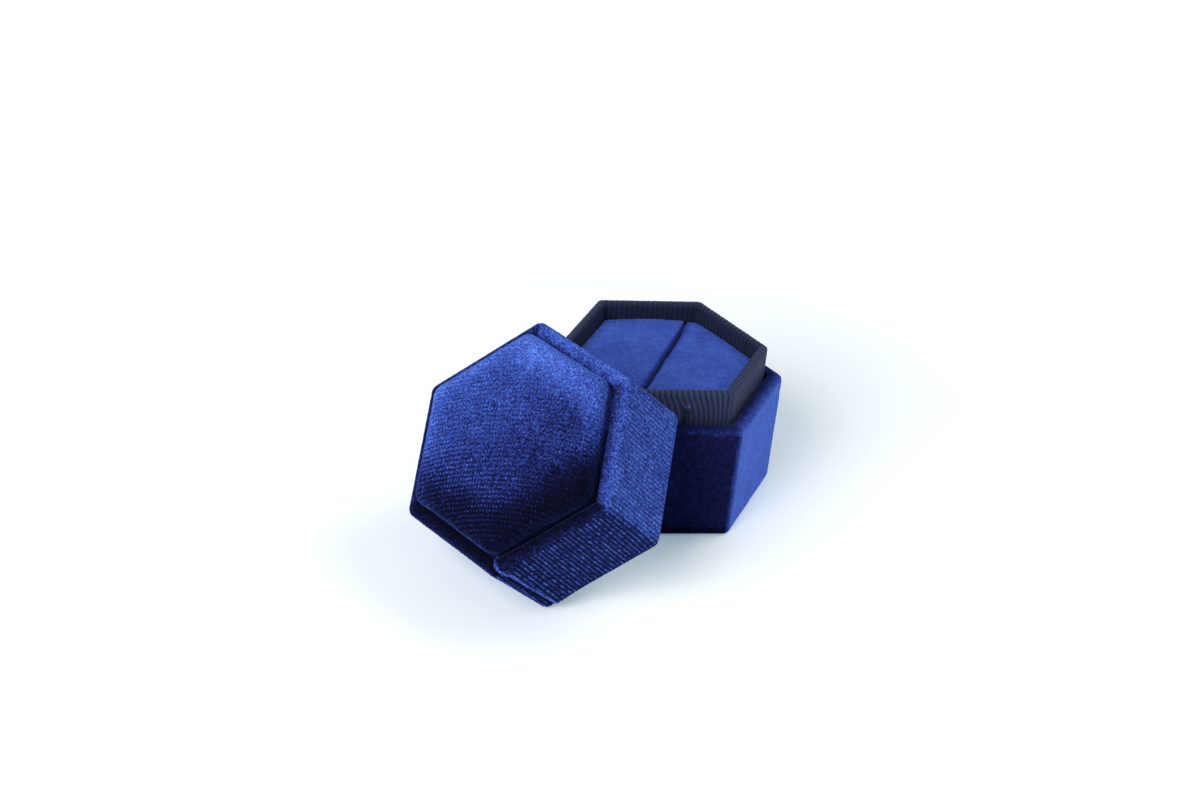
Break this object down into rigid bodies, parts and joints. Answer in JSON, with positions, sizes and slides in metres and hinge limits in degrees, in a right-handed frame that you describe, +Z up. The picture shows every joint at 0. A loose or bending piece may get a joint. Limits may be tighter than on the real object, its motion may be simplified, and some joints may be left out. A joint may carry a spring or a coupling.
{
  "type": "hexagonal velvet ring box",
  "caption": "Hexagonal ring box covered in blue velvet, with a lift-off padded lid leaning on the ribbon-wrapped collar and a slotted velvet pad that holds a ring.",
  "frame": {"origin": "centre of the base's flat underside, on the surface that the box stands on", "axes": "+Z up along the base's axis; X runs along the base's front and back flats, and the lid leans on the base at -X, -Y"},
  "size_m": [0.0855, 0.0866, 0.0503],
  "materials": {
    "velvet": "royal blue silk-pile velvet with a strong sheen",
    "pad_velvet": "royal blue short-pile velvet, smooth",
    "ribbon": "navy black grosgrain ribbon, ribbed",
    "greyboard": "plain grey board",
    "card": "plain card",
    "foam": "soft open foam"
  },
  "bodies": {
    "base": {"base_wall_board": "greyboard", "base_wall_velvet": "velvet", "base_floor_board": "greyboard", "base_floor_velvet": "velvet", "collar_board": "greyboard", "collar_ribbon": "ribbon", "pad_tray_card": "card", "left_pad_foam": "foam", "left_pad_velvet": "pad_velvet", "right_pad_foam": "foam", "right_pad_velvet": "pad_velvet"},
    "lid": {"lid_wall_board": "greyboard", "lid_wall_velvet": "velvet", "lid_face_board": "greyboard", "lid_face_foam": "foam", "lid_face_velvet": "velvet", "lid_liner_card": "card", "lid_liner_velvet": "pad_velvet"}
  },
  "joints": [
    {"name": "lid_lift", "type": "slide", "parent": "base", "child": "lid", "axis": [0, 0, 1], "range_m": [0, 0.06]}
  ]
}
